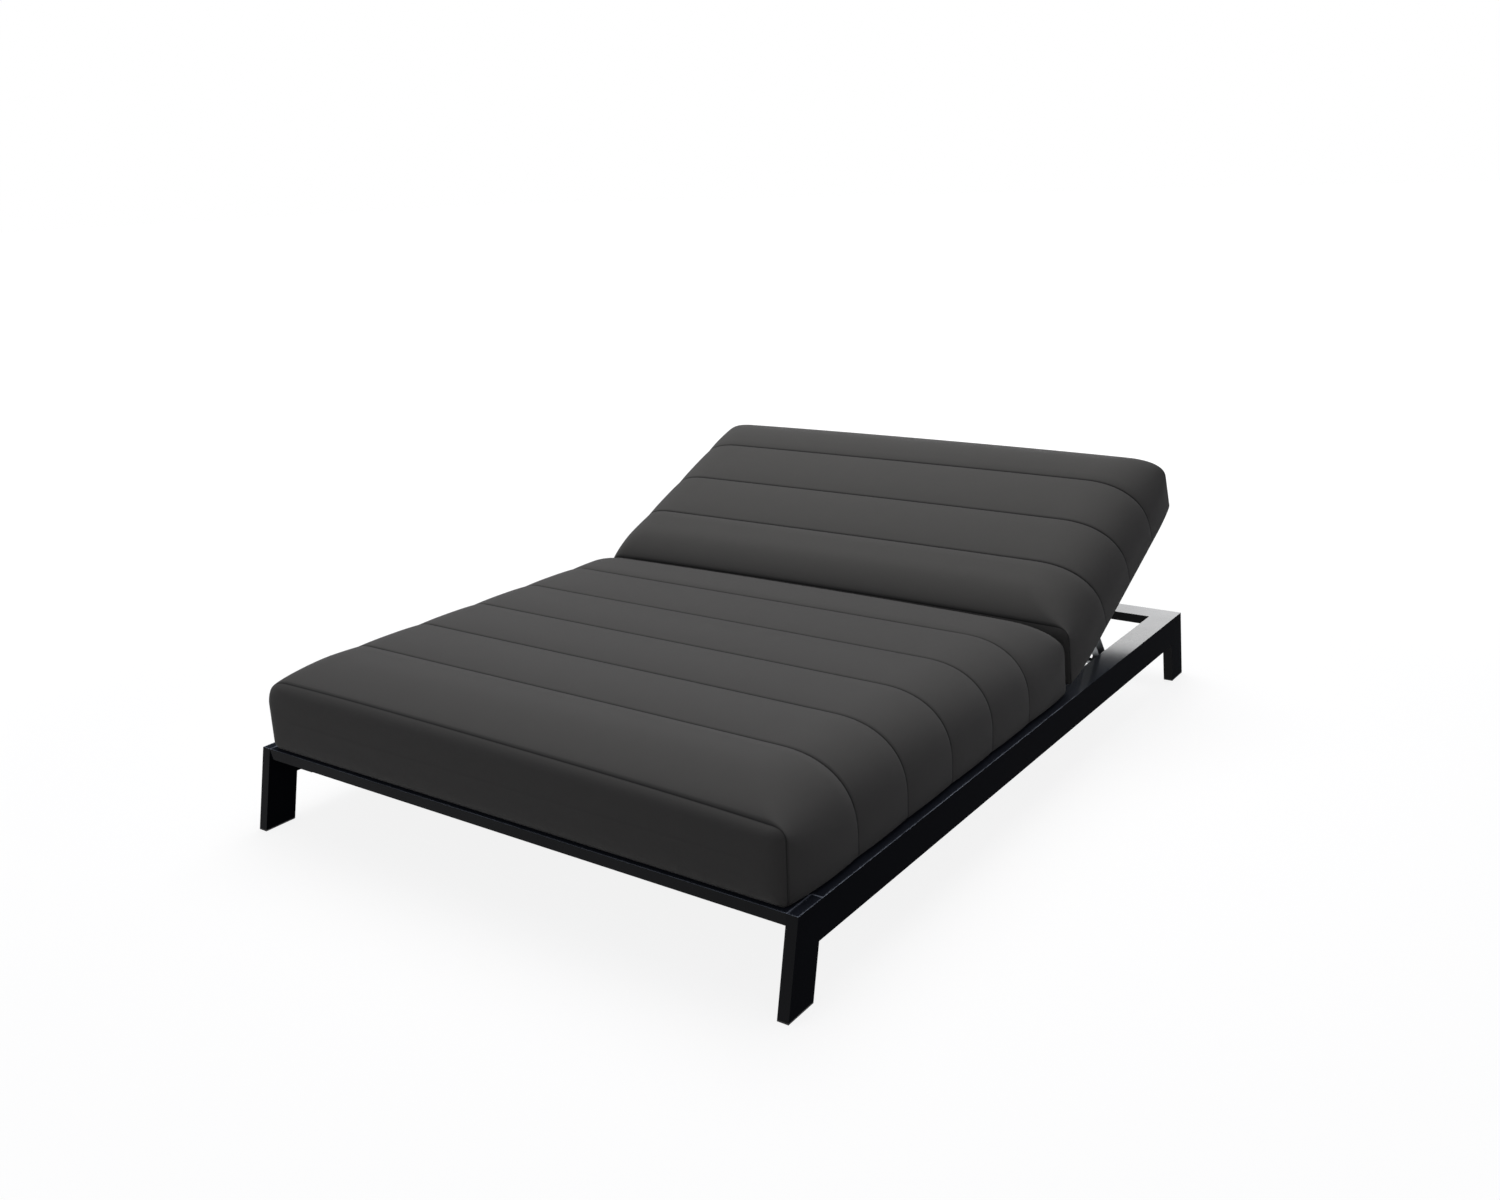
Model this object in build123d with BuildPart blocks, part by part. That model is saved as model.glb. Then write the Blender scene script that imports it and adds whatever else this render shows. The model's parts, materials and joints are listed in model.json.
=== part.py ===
from build123d import *
import os
from math import cos, radians, sin

# A double chaise lounger for a patio: a low metal frame on four splayed legs, a
# wide quilted seat cushion, and a quilted backrest that a pair of props holds up.
# The frame is X across, Y from the foot end to the head end, Z up from the floor.
# The origin is on the floor, midway between the legs.

# Frame sizes
frame_width = 1500.0
frame_length = 2000.0
frame_height = 195.0
side_rail_height = 80.0
side_rail_width = 65.0
end_rail_height = 25.0
end_rail_width = 76.0
tube_wall = 2.5
leg_thickness = 25.0
leg_width = 82.0
leg_splay = 41.0
glide_thickness = 3.0
glide_plug_depth = 18.0
glide_plug_gap = 0.3

# Seat deck sizes
slat_count = 5
slat_width = 40.0
slat_height = 20.0
hinge_rail_width = 40.0
hinge_rail_height = 40.0

# Hinge sizes
hinge_share = 0.618
hinge_to_rail = 16.0
hinge_pin_diameter = 10.0
hinge_pin_head_diameter = 18.0
hinge_pin_head = 4.0
hinge_bracket_thickness = 6.0
hinge_bracket_radius = 12.0
hinge_bracket_depth = 24.0
pin_gap = 0.1
side_gap = 0.3
washer_thickness = 5.0
washer_diameter = 22.0

# Backrest frame sizes
recline_angle = 25.5
back_tube = 25.0
back_frame_side_gap = 40.0
back_frame_end_gap = 8.0
back_rail_from_hinge = 20.0
back_slat_count = 4
back_slat_height = 15.0
stop_plate_thickness = 5.0
stop_plate_width = 60.0
stop_plate_reach = 30.0
stop_plate_lap = 40.0
stop_buffer_diameter = 20.0
stop_buffer_height = 5.0
stop_gap = 0.3

# Prop sizes
prop_from_hinge = 300.0
prop_drop = 5.0
prop_angle = 52.0
prop_width = 32.0
prop_thickness = 20.0
prop_pin_diameter = 10.0
prop_pin_head_diameter = 18.0
prop_pin_head = 4.0
prop_foot_diameter = 12.0
prop_tie_diameter = 16.0
prop_tie_wall = 2.0
prop_tie_from_foot = 45.0
prop_tie_offset = 24.0
prop_tie_lug_radius = 13.0

# Rack sizes
rack_thickness = 8.0
rack_height = 14.0
rack_pitch = 15.0
rack_tooth_depth = 4.0
rack_tooth_count = 16
rack_before_foot = 90.0
rack_gap = 0.3
foot_to_rail_gap = 2.0

# Cushion sizes
cushion_side_gap = 18.0
cushion_thickness = 201.0
cushion_seat_gap = 0.3
cushion_crown = 3.0
cushion_shoulder_width = 178.0
cushion_shoulder_run = 143.0
cushion_shoulder_drop = 41.0
cushion_side_drop = 104.0
cushion_lower_radius = 16.0
seam_depth = 6.5
seam_draw = 5.0
seat_front_gap = 14.0
seat_first_channel = 224.0
seat_last_channel = 221.0
seat_channel_count = 6
seat_rear_to_hinge = 10.0
back_start = 29.0
back_first_channel = 228.0
back_last_channel = 154.0
back_channel_count = 4
back_head_gap = 10.0
back_panel_height = 142.0
seat_panel_height = 172.0
panel_draw = 12.0
roll_middle_angle = 45.0
roll_draw_share = 0.35
panel_crest_share = 0.5
middle_share = 0.5
panel_shoulder_width = 110.0
panel_shoulder_run = 82.0
panel_shoulder_drop = 5.0
panel_side_drop = 34.0
panel_bulge = 6.0
panel_bulge_draw = 70.0
nose_height = 118.0
nose_draw = 8.0
seat_nose_lean = 8.0
back_nose_lean = 11.0
nose_crest_share = 0.40

# Places worked out from the sizes
foot_edge = -frame_length / 2
head_edge = frame_length / 2
half_width = frame_width / 2
rail_inner = half_width - side_rail_width
cushion_half_width = half_width - cushion_side_gap
hinge_from_foot = frame_length * hinge_share
hinge_y = foot_edge + hinge_from_foot
hinge_z = frame_height - back_tube / 2
back_outer = rail_inner - back_frame_side_gap
back_inner = back_outer - back_tube
prop_inner = back_outer + washer_thickness
prop_outer = prop_inner + prop_thickness
back_frame_end = head_edge - end_rail_width - back_frame_end_gap - hinge_y
tilt = radians(recline_angle)
lean_of_prop = radians(prop_angle)
prop_turn_ratio = prop_angle / recline_angle
prop_length = (prop_from_hinge * cos(tilt) + prop_drop * sin(tilt)) / (prop_turn_ratio * cos(lean_of_prop))

# The plane of the backrest has its origin on the hinge axis, X across, and its
# normal square to the backrest. Its own Y runs from the hinge to the head end.
back_plane = Plane(origin=(0, hinge_y, hinge_z), x_dir=(1, 0, 0), z_dir=(0, -sin(tilt), cos(tilt)))
floor_plane = Plane(origin=(0, foot_edge, frame_height), x_dir=(1, 0, 0), z_dir=(0, 0, 1))
prop_pivot = back_plane.from_local_coords(Vector(0, prop_from_hinge, -prop_drop))
prop_plane = Plane(
    origin=prop_pivot, x_dir=(1, 0, 0), z_dir=(0, sin(lean_of_prop), cos(lean_of_prop))
)
prop_foot = prop_plane.from_local_coords(Vector(0, prop_length, 0))
sides = (("left", -1), ("right", 1))


def side_view(plane, across):
    """Sketch plane seen from the side: its X runs along the plane's Y, its Y along the normal."""
    origin = plane.from_local_coords(Vector(across, 0, 0))
    return Plane(origin=origin, x_dir=plane.y_dir, z_dir=plane.x_dir)


def cross_view(plane, along, lean=0.0):
    """Sketch plane square to the plane's Y: its X runs across, its Y along the normal."""
    origin = plane.from_local_coords(Vector(0, along, 0))
    upright = Plane(origin=origin, x_dir=plane.x_dir, z_dir=-plane.y_dir)
    return upright.rotated((lean, 0, 0))


def finish(piece, label):
    """Name a finished piece and write its file."""
    piece.label = label
    export_step(piece, "parts/" + label + ".step")


def square_tube(plane, width, height, length, wall):
    """Hollow straight tube, open at its ends, grown from the plane along its normal."""
    with BuildSketch(plane) as section:
        Rectangle(width, height)
        offset(amount=-wall, mode=Mode.SUBTRACT)
    extrude(section.sketch, amount=length)


# Side rails
floor_side = Plane(origin=(0, 0, 0), x_dir=(0, 1, 0), z_dir=(1, 0, 0))
rail_underside = frame_height - side_rail_height
leg_inner_top = foot_edge + leg_width
leg_inner_under = leg_inner_top - leg_splay * side_rail_height / frame_height
for word, side in sides:
    outer_face = side * half_width
    with BuildPart() as side_rail:
        with BuildSketch(floor_side.offset(outer_face)):
            with BuildLine():
                Polyline(
                    (leg_inner_top, frame_height),
                    (-leg_inner_top, frame_height),
                    (-leg_inner_under, rail_underside),
                    (leg_inner_under, rail_underside),
                    close=True,
                )
            make_face()
        extrude(amount=-side * leg_thickness)
        with Locations((outer_face - side * (leg_thickness + side_rail_width) / 2, 0, frame_height)):
            Box(
                side_rail_width - leg_thickness,
                frame_length - 2 * end_rail_width,
                side_rail_height,
                align=(Align.CENTER, Align.CENTER, Align.MAX),
            )
        with Locations((outer_face - side * side_rail_width / 2, 0, frame_height - tube_wall)):
            Box(
                side_rail_width - 2 * tube_wall,
                frame_length,
                side_rail_height - 2 * tube_wall,
                align=(Align.CENTER, Align.CENTER, Align.MAX),
                mode=Mode.SUBTRACT,
            )
    finish(side_rail.part, "side_rail_" + word)

# Foot rail and head rail
for word, end in (("foot", -1), ("head", 1)):
    with BuildPart() as end_rail:
        middle_y = end * (frame_length - end_rail_width) / 2
        middle_z = frame_height - end_rail_height / 2
        rail_start = half_width - leg_thickness
        start = Plane(origin=(-rail_start, middle_y, middle_z), x_dir=(0, 1, 0), z_dir=(1, 0, 0))
        square_tube(start, end_rail_width, end_rail_height, 2 * rail_start, tube_wall)
    finish(end_rail.part, word + "_rail")

# Legs and the glides under them
for end_word, end in (("foot", -1), ("head", 1)):
    for word, side in sides:
        with BuildPart() as leg:
            corner_y = end * frame_length / 2
            floor_share = 1 - glide_thickness / frame_height
            with BuildSketch(floor_side.offset(side * half_width)):
                with BuildLine():
                    Polyline(
                        (corner_y, frame_height),
                        (corner_y + end * leg_splay * floor_share, glide_thickness),
                        (corner_y + end * (leg_splay * floor_share - leg_width), glide_thickness),
                        (corner_y - end * leg_width, frame_height),
                        close=True,
                    )
                make_face()
            extrude(amount=-side * leg_thickness)
            with BuildSketch(floor_side.offset(side * (half_width - tube_wall))):
                with BuildLine():
                    bore_top = frame_height - tube_wall
                    near = tube_wall
                    far = leg_width - tube_wall
                    Polyline(
                        (corner_y + end * (leg_splay * tube_wall / frame_height - near), bore_top),
                        (corner_y + end * (leg_splay - near), 0),
                        (corner_y + end * (leg_splay - far), 0),
                        (corner_y + end * (leg_splay * tube_wall / frame_height - far), bore_top),
                        close=True,
                    )
                make_face()
            extrude(amount=-side * (leg_thickness - 2 * tube_wall), mode=Mode.SUBTRACT)
        finish(leg.part, "leg_" + end_word + "_" + word)
        with BuildPart() as glide:
            with BuildSketch(floor_side.offset(side * half_width)):
                with BuildLine():
                    Polyline(
                        (corner_y + end * leg_splay, 0),
                        (corner_y + end * leg_splay * floor_share, glide_thickness),
                        (corner_y + end * (leg_splay * floor_share - leg_width), glide_thickness),
                        (corner_y + end * (leg_splay - leg_width), 0),
                        close=True,
                    )
                make_face()
            extrude(amount=-side * leg_thickness)
            plug_inset = tube_wall + glide_plug_gap
            plug_top = glide_thickness + glide_plug_depth
            plug_share = 1 - plug_top / frame_height
            plug_far = leg_width - plug_inset
            with BuildSketch(floor_side.offset(side * (half_width - plug_inset))):
                with BuildLine():
                    Polyline(
                        (corner_y + end * (leg_splay * plug_share - plug_inset), plug_top),
                        (corner_y + end * (leg_splay * floor_share - plug_inset), glide_thickness),
                        (corner_y + end * (leg_splay * floor_share - plug_far), glide_thickness),
                        (corner_y + end * (leg_splay * plug_share - plug_far), plug_top),
                        close=True,
                    )
                make_face()
            extrude(amount=-side * (leg_thickness - 2 * plug_inset))
        finish(glide.part, "glide_" + end_word + "_" + word)

# Hinge rail across the frame
hinge_rail_y = hinge_y - hinge_to_rail - hinge_rail_width / 2
with BuildPart() as hinge_rail:
    start = Plane(
        origin=(-rail_inner, hinge_rail_y, frame_height - hinge_rail_height / 2),
        x_dir=(0, 1, 0),
        z_dir=(1, 0, 0),
    )
    square_tube(start, hinge_rail_width, hinge_rail_height, 2 * rail_inner, tube_wall)
finish(hinge_rail.part, "hinge_rail")

# Seat slats, evenly spaced between the foot rail and the hinge rail
deck_start = foot_edge + end_rail_width
deck_length = hinge_rail_y - hinge_rail_width / 2 - deck_start
slat_pitch = (deck_length + slat_width) / (slat_count + 1)
for number in range(1, slat_count + 1):
    with BuildPart() as seat_slat:
        slat_y = deck_start - slat_width / 2 + number * slat_pitch
        start = Plane(
            origin=(-rail_inner, slat_y, frame_height - slat_height / 2),
            x_dir=(0, 1, 0),
            z_dir=(1, 0, 0),
        )
        square_tube(start, slat_width, slat_height, 2 * rail_inner, tube_wall)
    finish(seat_slat.part, "seat_slat_" + str(number))

# Hinge brackets, welded to the head side of the hinge rail, with their pins
bracket_inner = back_outer + washer_thickness
bracket_outer = bracket_inner + hinge_bracket_thickness
for word, side in sides:
    with BuildPart() as hinge_bracket:
        with BuildSketch(floor_side.offset(side * bracket_inner)):
            with Locations((hinge_y, hinge_z)):
                Circle(hinge_bracket_radius)
            with Locations((hinge_y - hinge_to_rail, hinge_z + hinge_bracket_radius)):
                Rectangle(
                    hinge_to_rail,
                    hinge_bracket_radius + hinge_bracket_depth,
                    align=(Align.MIN, Align.MAX),
                )
            with Locations((hinge_y, hinge_z)):
                Circle(hinge_pin_diameter / 2 + pin_gap, mode=Mode.SUBTRACT)
        extrude(amount=side * hinge_bracket_thickness)
    finish(hinge_bracket.part, "hinge_bracket_" + word)
    with BuildPart() as hinge_pin:
        with BuildSketch(floor_side.offset(side * bracket_outer)):
            with Locations((hinge_y, hinge_z)):
                Circle(hinge_pin_head_diameter / 2)
        extrude(amount=side * hinge_pin_head)
        with BuildSketch(floor_side.offset(side * bracket_outer)):
            with Locations((hinge_y, hinge_z)):
                Circle(hinge_pin_diameter / 2)
        extrude(amount=-side * (bracket_outer - back_inner))
    finish(hinge_pin.part, "hinge_pin_" + word)

# Backrest stiles, bored for the hinge pins and the prop pins
for word, side in sides:
    with BuildPart() as back_stile:
        with BuildSketch(side_view(back_plane, side * back_inner)):
            Circle(back_tube / 2)
            with Locations((0, 0)):
                Rectangle(back_frame_end, back_tube, align=(Align.MIN, Align.CENTER))
        extrude(amount=side * back_tube)
        with BuildSketch(side_view(back_plane, side * (back_inner + tube_wall))):
            with Locations((back_tube, 0)):
                Rectangle(
                    back_frame_end - back_tube,
                    back_tube - 2 * tube_wall,
                    align=(Align.MIN, Align.CENTER),
                )
        extrude(amount=side * (back_tube - 2 * tube_wall), mode=Mode.SUBTRACT)
        with BuildSketch(side_view(back_plane, side * back_inner)):
            Circle(hinge_pin_diameter / 2 + pin_gap)
            with Locations((prop_from_hinge, -prop_drop)):
                Circle(prop_pin_diameter / 2 + pin_gap)
        extrude(amount=side * back_tube, mode=Mode.SUBTRACT)
    finish(back_stile.part, "back_stile_" + word)

# Cross rails and slats of the backrest
back_span = 2 * back_inner
upper_rail_at = back_frame_end - back_tube / 2
lower_rail_at = back_rail_from_hinge + back_tube / 2
for word, place in (("lower", lower_rail_at), ("upper", upper_rail_at)):
    with BuildPart() as back_rail:
        origin = back_plane.from_local_coords(Vector(-back_inner, place, 0))
        start = Plane(origin=origin, x_dir=back_plane.y_dir, z_dir=back_plane.x_dir)
        square_tube(start, back_tube, back_tube, back_span, tube_wall)
    finish(back_rail.part, "back_rail_" + word)

back_deck = upper_rail_at - lower_rail_at - back_tube
back_slat_pitch = (back_deck + slat_width) / (back_slat_count + 1)
for number in range(1, back_slat_count + 1):
    with BuildPart() as back_slat:
        place = lower_rail_at + back_tube / 2 - slat_width / 2 + number * back_slat_pitch
        height = (back_tube - back_slat_height) / 2
        origin = back_plane.from_local_coords(Vector(-back_inner, place, height))
        start = Plane(origin=origin, x_dir=back_plane.y_dir, z_dir=back_plane.x_dir)
        square_tube(start, slat_width, back_slat_height, back_span, tube_wall)
    finish(back_slat.part, "back_slat_" + str(number))

# Hinge washers and prop washers, between the stiles and what turns beside them
for word, side in sides:
    with BuildPart() as hinge_washer:
        with BuildSketch(side_view(back_plane, side * back_outer)):
            Circle(washer_diameter / 2)
            Circle(hinge_pin_diameter / 2 + pin_gap, mode=Mode.SUBTRACT)
        extrude(amount=side * (washer_thickness - side_gap))
    finish(hinge_washer.part, "hinge_washer_" + word)
    with BuildPart() as prop_washer:
        with BuildSketch(side_view(prop_plane, side * back_outer)):
            Circle(washer_diameter / 2)
            Circle(prop_pin_diameter / 2 + pin_gap, mode=Mode.SUBTRACT)
        extrude(amount=side * (washer_thickness - side_gap))
    finish(prop_washer.part, "prop_washer_" + word)

# Stops under the head rail, where the backrest comes to lie
stop_top = frame_height - back_tube - stop_gap
plate_top = stop_top - stop_buffer_height
stop_y = head_edge - end_rail_width - back_frame_end_gap - back_tube / 2
for word, side in sides:
    stop_x = side * back_inner / 2
    with BuildPart() as stop_plate:
        plate_start = stop_y - stop_plate_reach / 2
        plate_end = head_edge - end_rail_width + stop_plate_lap
        with Locations((stop_x, plate_start, plate_top)):
            Box(
                stop_plate_width,
                plate_end - plate_start,
                stop_plate_thickness,
                align=(Align.CENTER, Align.MIN, Align.MAX),
            )
        rise = frame_height - end_rail_height - plate_top
        with Locations((stop_x, plate_end, plate_top)):
            Box(
                stop_plate_width,
                stop_plate_lap,
                rise,
                align=(Align.CENTER, Align.MAX, Align.MIN),
            )
    finish(stop_plate.part, "stop_plate_" + word)
    with BuildPart() as stop_buffer:
        with BuildSketch(Plane.XY.offset(plate_top)):
            with Locations((stop_x, stop_y)):
                Circle(stop_buffer_diameter / 2)
        extrude(amount=stop_buffer_height)
    finish(stop_buffer.part, "stop_buffer_" + word)

# Prop arms, their pivot pins, their feet and the tie tube between them
tie_along = prop_length - prop_tie_from_foot
for word, side in sides:
    with BuildPart() as prop_arm:
        with BuildSketch(side_view(prop_plane, side * prop_inner)):
            with Locations((prop_length / 2, 0)):
                SlotCenterToCenter(prop_length, prop_width)
            with Locations((tie_along, -prop_tie_offset)):
                Circle(prop_tie_lug_radius)
            with Locations((tie_along, 0)):
                Rectangle(
                    2 * prop_tie_lug_radius,
                    prop_tie_offset,
                    align=(Align.CENTER, Align.MAX),
                )
            Circle(prop_pin_diameter / 2 + pin_gap, mode=Mode.SUBTRACT)
            with Locations((prop_length, 0)):
                Circle(prop_foot_diameter / 2 + pin_gap, mode=Mode.SUBTRACT)
        extrude(amount=side * prop_thickness)
    finish(prop_arm.part, "prop_arm_" + word)
    with BuildPart() as prop_pin:
        head_start = prop_outer + side_gap
        with BuildSketch(side_view(prop_plane, side * head_start)):
            Circle(prop_pin_head_diameter / 2)
        extrude(amount=side * prop_pin_head)
        with BuildSketch(side_view(prop_plane, side * head_start)):
            Circle(prop_pin_diameter / 2)
        extrude(amount=-side * (head_start - back_inner))
    finish(prop_pin.part, "prop_pin_" + word)
    with BuildPart() as prop_foot_pin:
        with BuildSketch(side_view(prop_plane, side * prop_inner)):
            with Locations((prop_length, 0)):
                Circle(prop_foot_diameter / 2)
        extrude(amount=side * (rail_inner - foot_to_rail_gap - prop_inner))
    finish(prop_foot_pin.part, "prop_foot_" + word)

with BuildPart() as prop_tie:
    with BuildSketch(side_view(prop_plane, -prop_inner)):
        with Locations((tie_along, -prop_tie_offset)):
            Circle(prop_tie_diameter / 2)
            Circle(prop_tie_diameter / 2 - prop_tie_wall, mode=Mode.SUBTRACT)
    extrude(amount=2 * prop_inner)
finish(prop_tie.part, "prop_tie")

# Racks on the inner faces of the side rails, just under the path of the feet
tip_z = prop_foot.Z - prop_foot_diameter / 2 - rack_gap
root_z = tip_z - rack_tooth_depth
base_z = tip_z - rack_height
rack_start = prop_foot.Y - rack_before_foot
rack_end = rack_start + rack_tooth_count * rack_pitch
for word, side in sides:
    with BuildPart() as rack:
        with BuildSketch(floor_side.offset(side * rail_inner)):
            with BuildLine():
                outline = [(rack_start, base_z)]
                for tooth in range(rack_tooth_count):
                    tooth_start = rack_start + tooth * rack_pitch
                    outline.append((tooth_start, tip_z))
                    outline.append((tooth_start + rack_pitch, root_z))
                outline.append((rack_end, base_z))
                Polyline(*outline, close=True)
            make_face()
        extrude(amount=-side * rack_thickness)
    finish(rack.part, "rack_" + word)


def cushion_outline(plane, draw, height, shoulder_width, shoulder_run, shoulder_drop, side_drop):
    """Half round shoulders on a flat base, as one closed face across the cushion."""
    edge = cushion_half_width - draw
    crown_edge = edge - shoulder_width
    turn = crown_edge + shoulder_run
    with BuildSketch(plane) as section:
        with BuildLine():
            ThreePointArc((-crown_edge, height), (0, height + cushion_crown), (crown_edge, height))
            for side in (-1, 1):
                upper = TangentArc(
                    (side * crown_edge, height),
                    (side * turn, height - shoulder_drop),
                    tangent=(side, 0),
                )
                TangentArc(
                    (side * turn, height - shoulder_drop),
                    (side * edge, height - side_drop),
                    tangent=upper % 1,
                )
                Line((side * edge, height - side_drop), (side * edge, cushion_lower_radius))
                TangentArc(
                    (side * edge, cushion_lower_radius),
                    (side * (edge - cushion_lower_radius), 0),
                    tangent=(0, -1),
                )
            Line((cushion_lower_radius - edge, 0), (edge - cushion_lower_radius, 0))
        make_face()
    return section.sketch


def channel_outline(plane, draw, drop):
    """Outline across a channel, drawn in by a seam or full at its crest."""
    return cushion_outline(
        plane,
        draw,
        cushion_thickness - drop,
        cushion_shoulder_width,
        cushion_shoulder_run,
        cushion_shoulder_drop,
        cushion_side_drop,
    )


def panel_outline(plane, draw, height):
    """Outline near the flat end panel, with its small corners."""
    return cushion_outline(
        plane,
        draw,
        height,
        panel_shoulder_width,
        panel_shoulder_run,
        panel_shoulder_drop,
        panel_side_drop,
    )


def nose_outline(plane):
    """Outline of the low leaning end face next to the hinge."""
    return cushion_outline(
        plane,
        nose_draw,
        nose_height,
        cushion_shoulder_width,
        cushion_shoulder_run,
        cushion_shoulder_drop,
        nose_height - (cushion_thickness - cushion_side_drop) / 2,
    )


def quilted_cushion(base, panel_at, panel_height, nose_at, nose_lean, seams):
    """Cushion of pillowed channels between seams, from the panel end to the nose end."""
    inward = 1 if nose_at > panel_at else -1
    roll_radius = cushion_thickness - panel_height
    roll_inset = roll_radius * (1 - cos(radians(roll_middle_angle)))
    bulge = panel_outline(
        cross_view(base, panel_at - inward * panel_bulge),
        panel_draw + panel_bulge_draw,
        panel_height - panel_bulge_draw,
    )
    panel = panel_outline(cross_view(base, panel_at), panel_draw, panel_height)
    roll_middle = panel_outline(
        cross_view(base, panel_at + inward * roll_inset),
        panel_draw * roll_draw_share,
        cushion_thickness - roll_inset,
    )
    roll_top = panel_outline(cross_view(base, panel_at + inward * roll_radius), 0, cushion_thickness)
    stitched = [channel_outline(cross_view(base, place), seam_draw, seam_depth) for place in seams]
    nose = nose_outline(cross_view(base, nose_at, inward * nose_lean))
    stations = [panel_at] + seams + [nose_at]
    crest_shares = [panel_crest_share] + [middle_share] * (len(seams) - 1) + [nose_crest_share]
    crests = [
        channel_outline(cross_view(base, near + (far - near) * share), 0, 0)
        for near, far, share in zip(stations, stations[1:], crest_shares)
    ]
    with BuildPart() as cushion:
        loft([bulge, panel], ruled=True)
        loft([panel, roll_middle, roll_top])
        loft([roll_top, crests[0], stitched[0]])
        for near, crest, far in zip(stitched, crests[1:], stitched[1:] + [nose]):
            loft([near, crest, far])
    return cushion.part


def even_seams(first, last, channel_count):
    """Places of the seams between the channels, evenly spaced from the first to the last."""
    pitch = (last - first) / (channel_count - 2)
    return [first + number * pitch for number in range(channel_count - 1)]


# Seat cushion, from its front panel to the nose beside the hinge
seat_nose = hinge_from_foot - seat_rear_to_hinge
seat_seams = even_seams(
    seat_front_gap + seat_first_channel, seat_nose - seat_last_channel, seat_channel_count
)
seat_cushion = quilted_cushion(
    floor_plane.offset(cushion_seat_gap),
    seat_front_gap,
    seat_panel_height,
    seat_nose,
    seat_nose_lean,
    seat_seams,
)
finish(seat_cushion, "seat_cushion")

# Back cushion, from the nose beside the hinge to its panel at the head end
back_end = frame_length - hinge_from_foot - back_head_gap
back_seams = even_seams(
    back_start + back_first_channel, back_end - back_last_channel, back_channel_count
)
back_cushion = quilted_cushion(
    back_plane.offset(back_tube / 2 + cushion_seat_gap),
    back_end,
    back_panel_height,
    back_start,
    back_nose_lean,
    back_seams[::-1],
)
finish(back_cushion, "back_cushion")

print("hinge axis", round(hinge_y, 3), round(hinge_z, 3))
print("prop pivot", round(prop_pivot.Y, 3), round(prop_pivot.Z, 3))
print("prop turns", -prop_turn_ratio - 1, "times the backrest's turn")
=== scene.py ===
"""A double chaise lounger for a patio: its finishes, its two quilted cushions and a studio.

The metal frame, its backrest and its props come from the fixed frame at their real size. This
script dresses them, sews the two quilted cushions, and sets up a plain studio with the camera at
the photograph's viewing angle. All lengths are in metres.
"""

from __future__ import annotations

import json
import logging
import math
from dataclasses import dataclass
from enum import Enum

import bmesh
import bpy
import numpy as np
from mathutils import Matrix, Vector

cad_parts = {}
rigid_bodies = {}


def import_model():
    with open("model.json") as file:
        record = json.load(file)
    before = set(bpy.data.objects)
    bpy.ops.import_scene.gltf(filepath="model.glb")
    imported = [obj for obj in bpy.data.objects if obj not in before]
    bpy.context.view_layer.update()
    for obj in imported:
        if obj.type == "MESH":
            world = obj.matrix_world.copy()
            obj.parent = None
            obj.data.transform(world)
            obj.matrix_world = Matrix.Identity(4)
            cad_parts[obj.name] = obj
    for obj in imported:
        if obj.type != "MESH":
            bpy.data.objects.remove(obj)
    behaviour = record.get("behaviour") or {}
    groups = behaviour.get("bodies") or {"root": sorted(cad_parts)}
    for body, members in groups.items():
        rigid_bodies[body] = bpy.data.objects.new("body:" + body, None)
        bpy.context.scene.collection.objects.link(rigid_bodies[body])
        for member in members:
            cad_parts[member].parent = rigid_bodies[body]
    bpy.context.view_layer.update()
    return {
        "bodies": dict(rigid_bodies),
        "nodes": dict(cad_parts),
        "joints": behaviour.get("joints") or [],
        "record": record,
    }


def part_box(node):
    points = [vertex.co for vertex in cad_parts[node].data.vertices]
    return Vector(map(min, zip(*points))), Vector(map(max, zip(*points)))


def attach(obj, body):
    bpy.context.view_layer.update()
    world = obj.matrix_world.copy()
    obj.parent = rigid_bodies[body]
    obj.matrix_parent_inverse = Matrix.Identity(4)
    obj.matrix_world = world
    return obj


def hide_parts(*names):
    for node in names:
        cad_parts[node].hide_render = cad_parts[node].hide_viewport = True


LOG = logging.getLogger("chaise_lounger")
MILLIMETRE = 0.001
WELD_DISTANCE = 0.02 * MILLIMETRE
# Blender's wave texture turns by 20 radians in a metre at scale 1.
WAVE_TURN = 20.0


class Body(Enum):
    """The moving parts of the lounger that carry a cushion."""

    FRAME = "frame"
    BACKREST = "backrest"


class Slot(Enum):
    """The finishes that the record names."""

    FRAME_METAL = "frame_metal"
    PROP_METAL = "prop_metal"
    STEEL_PIN = "steel_pin"
    BLACK_PLASTIC = "black_plastic"
    BLACK_RUBBER = "black_rubber"
    CUSHION_CLOTH = "cushion_cloth"


class Side(Enum):
    """The two long sides of the lounger, by the sign of X."""

    LEFT = -1
    RIGHT = 1

    @property
    def word(self) -> str:
        """The side's name as the nodes spell it."""
        return self.name.lower()


def linear_colour(hex_value: str, alpha: float = 1.0) -> tuple[float, float, float, float]:
    """Turn an sRGB hex value into a linear colour.

    Args:
        hex_value: Six hex digits after a hash sign.
        alpha: Opacity of the colour.

    Returns:
        Red, green, blue and alpha, linear.
    """
    channels = [int(hex_value[place : place + 2], 16) / 255 for place in (1, 3, 5)]
    linear = [c / 12.92 if c <= 0.04045 else ((c + 0.055) / 1.055) ** 2.4 for c in channels]
    return (*linear, alpha)


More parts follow.
